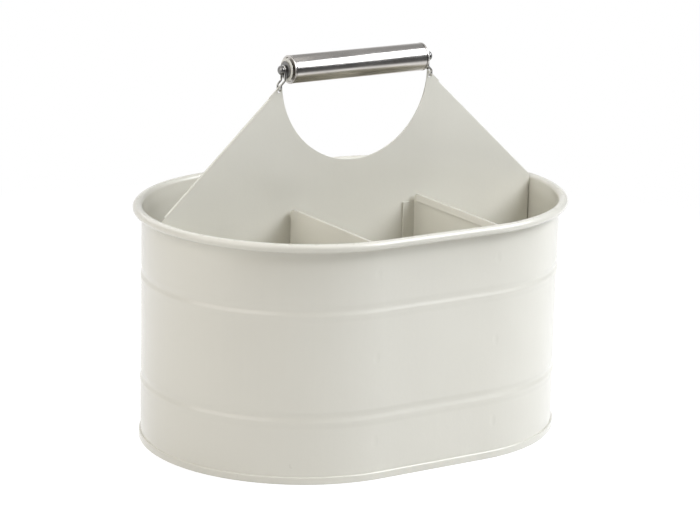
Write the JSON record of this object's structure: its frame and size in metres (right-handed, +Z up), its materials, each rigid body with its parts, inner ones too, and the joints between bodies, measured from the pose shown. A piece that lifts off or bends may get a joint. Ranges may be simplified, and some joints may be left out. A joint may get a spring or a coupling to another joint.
{
  "type": "bottle carrier",
  "caption": "Oval sheet-steel carrier with a rolled rim, divided compartments for bottles and a spinning tube handle hung on wire links.",
  "frame": {"origin": "centre of the bounding box's underside, on the surface that the carrier stands on", "axes": "+Z up, X along the long axis of the tub and of the handle, front towards -Y"},
  "size_m": [0.2538, 0.1858, 0.2177],
  "materials": {
    "cream_paint": "semi-gloss cream enamel on sheet steel",
    "brushed_steel": "satin, polished along its turning",
    "plated_steel": "bright plated"
  },
  "bodies": {
    "tub": {"tub_wall": "cream_paint", "rim_wire": "plated_steel", "base_pan": "cream_paint", "centre_divider": "cream_paint", "cross_divider_front_left": "cream_paint", "cross_divider_front_right": "cream_paint", "cross_divider_back_left": "cream_paint", "cross_divider_back_right": "cream_paint"},
    "hanger": {"handle_rod": "plated_steel", "spacer_disc_left": "cream_paint", "spacer_disc_right": "cream_paint", "washer_left": "plated_steel", "washer_right": "plated_steel", "dome_nut_left": "plated_steel", "dome_nut_right": "plated_steel", "link_left": "plated_steel", "link_right": "plated_steel"},
    "grip": {"grip_tube": "brushed_steel", "end_cap_left": "brushed_steel", "end_cap_right": "brushed_steel"}
  },
  "joints": [
    {"name": "handle_swing", "type": "hinge", "parent": "tub", "child": "hanger", "pos_m": [0, 0, 0.20039], "axis": [1, 0, 0], "range_deg": [-112, 112]},
    {"name": "grip_spin", "type": "hinge", "parent": "hanger", "child": "grip", "pos_m": [0, 0, 0.2098], "axis": [1, 0, 0], "continuous": true}
  ]
}
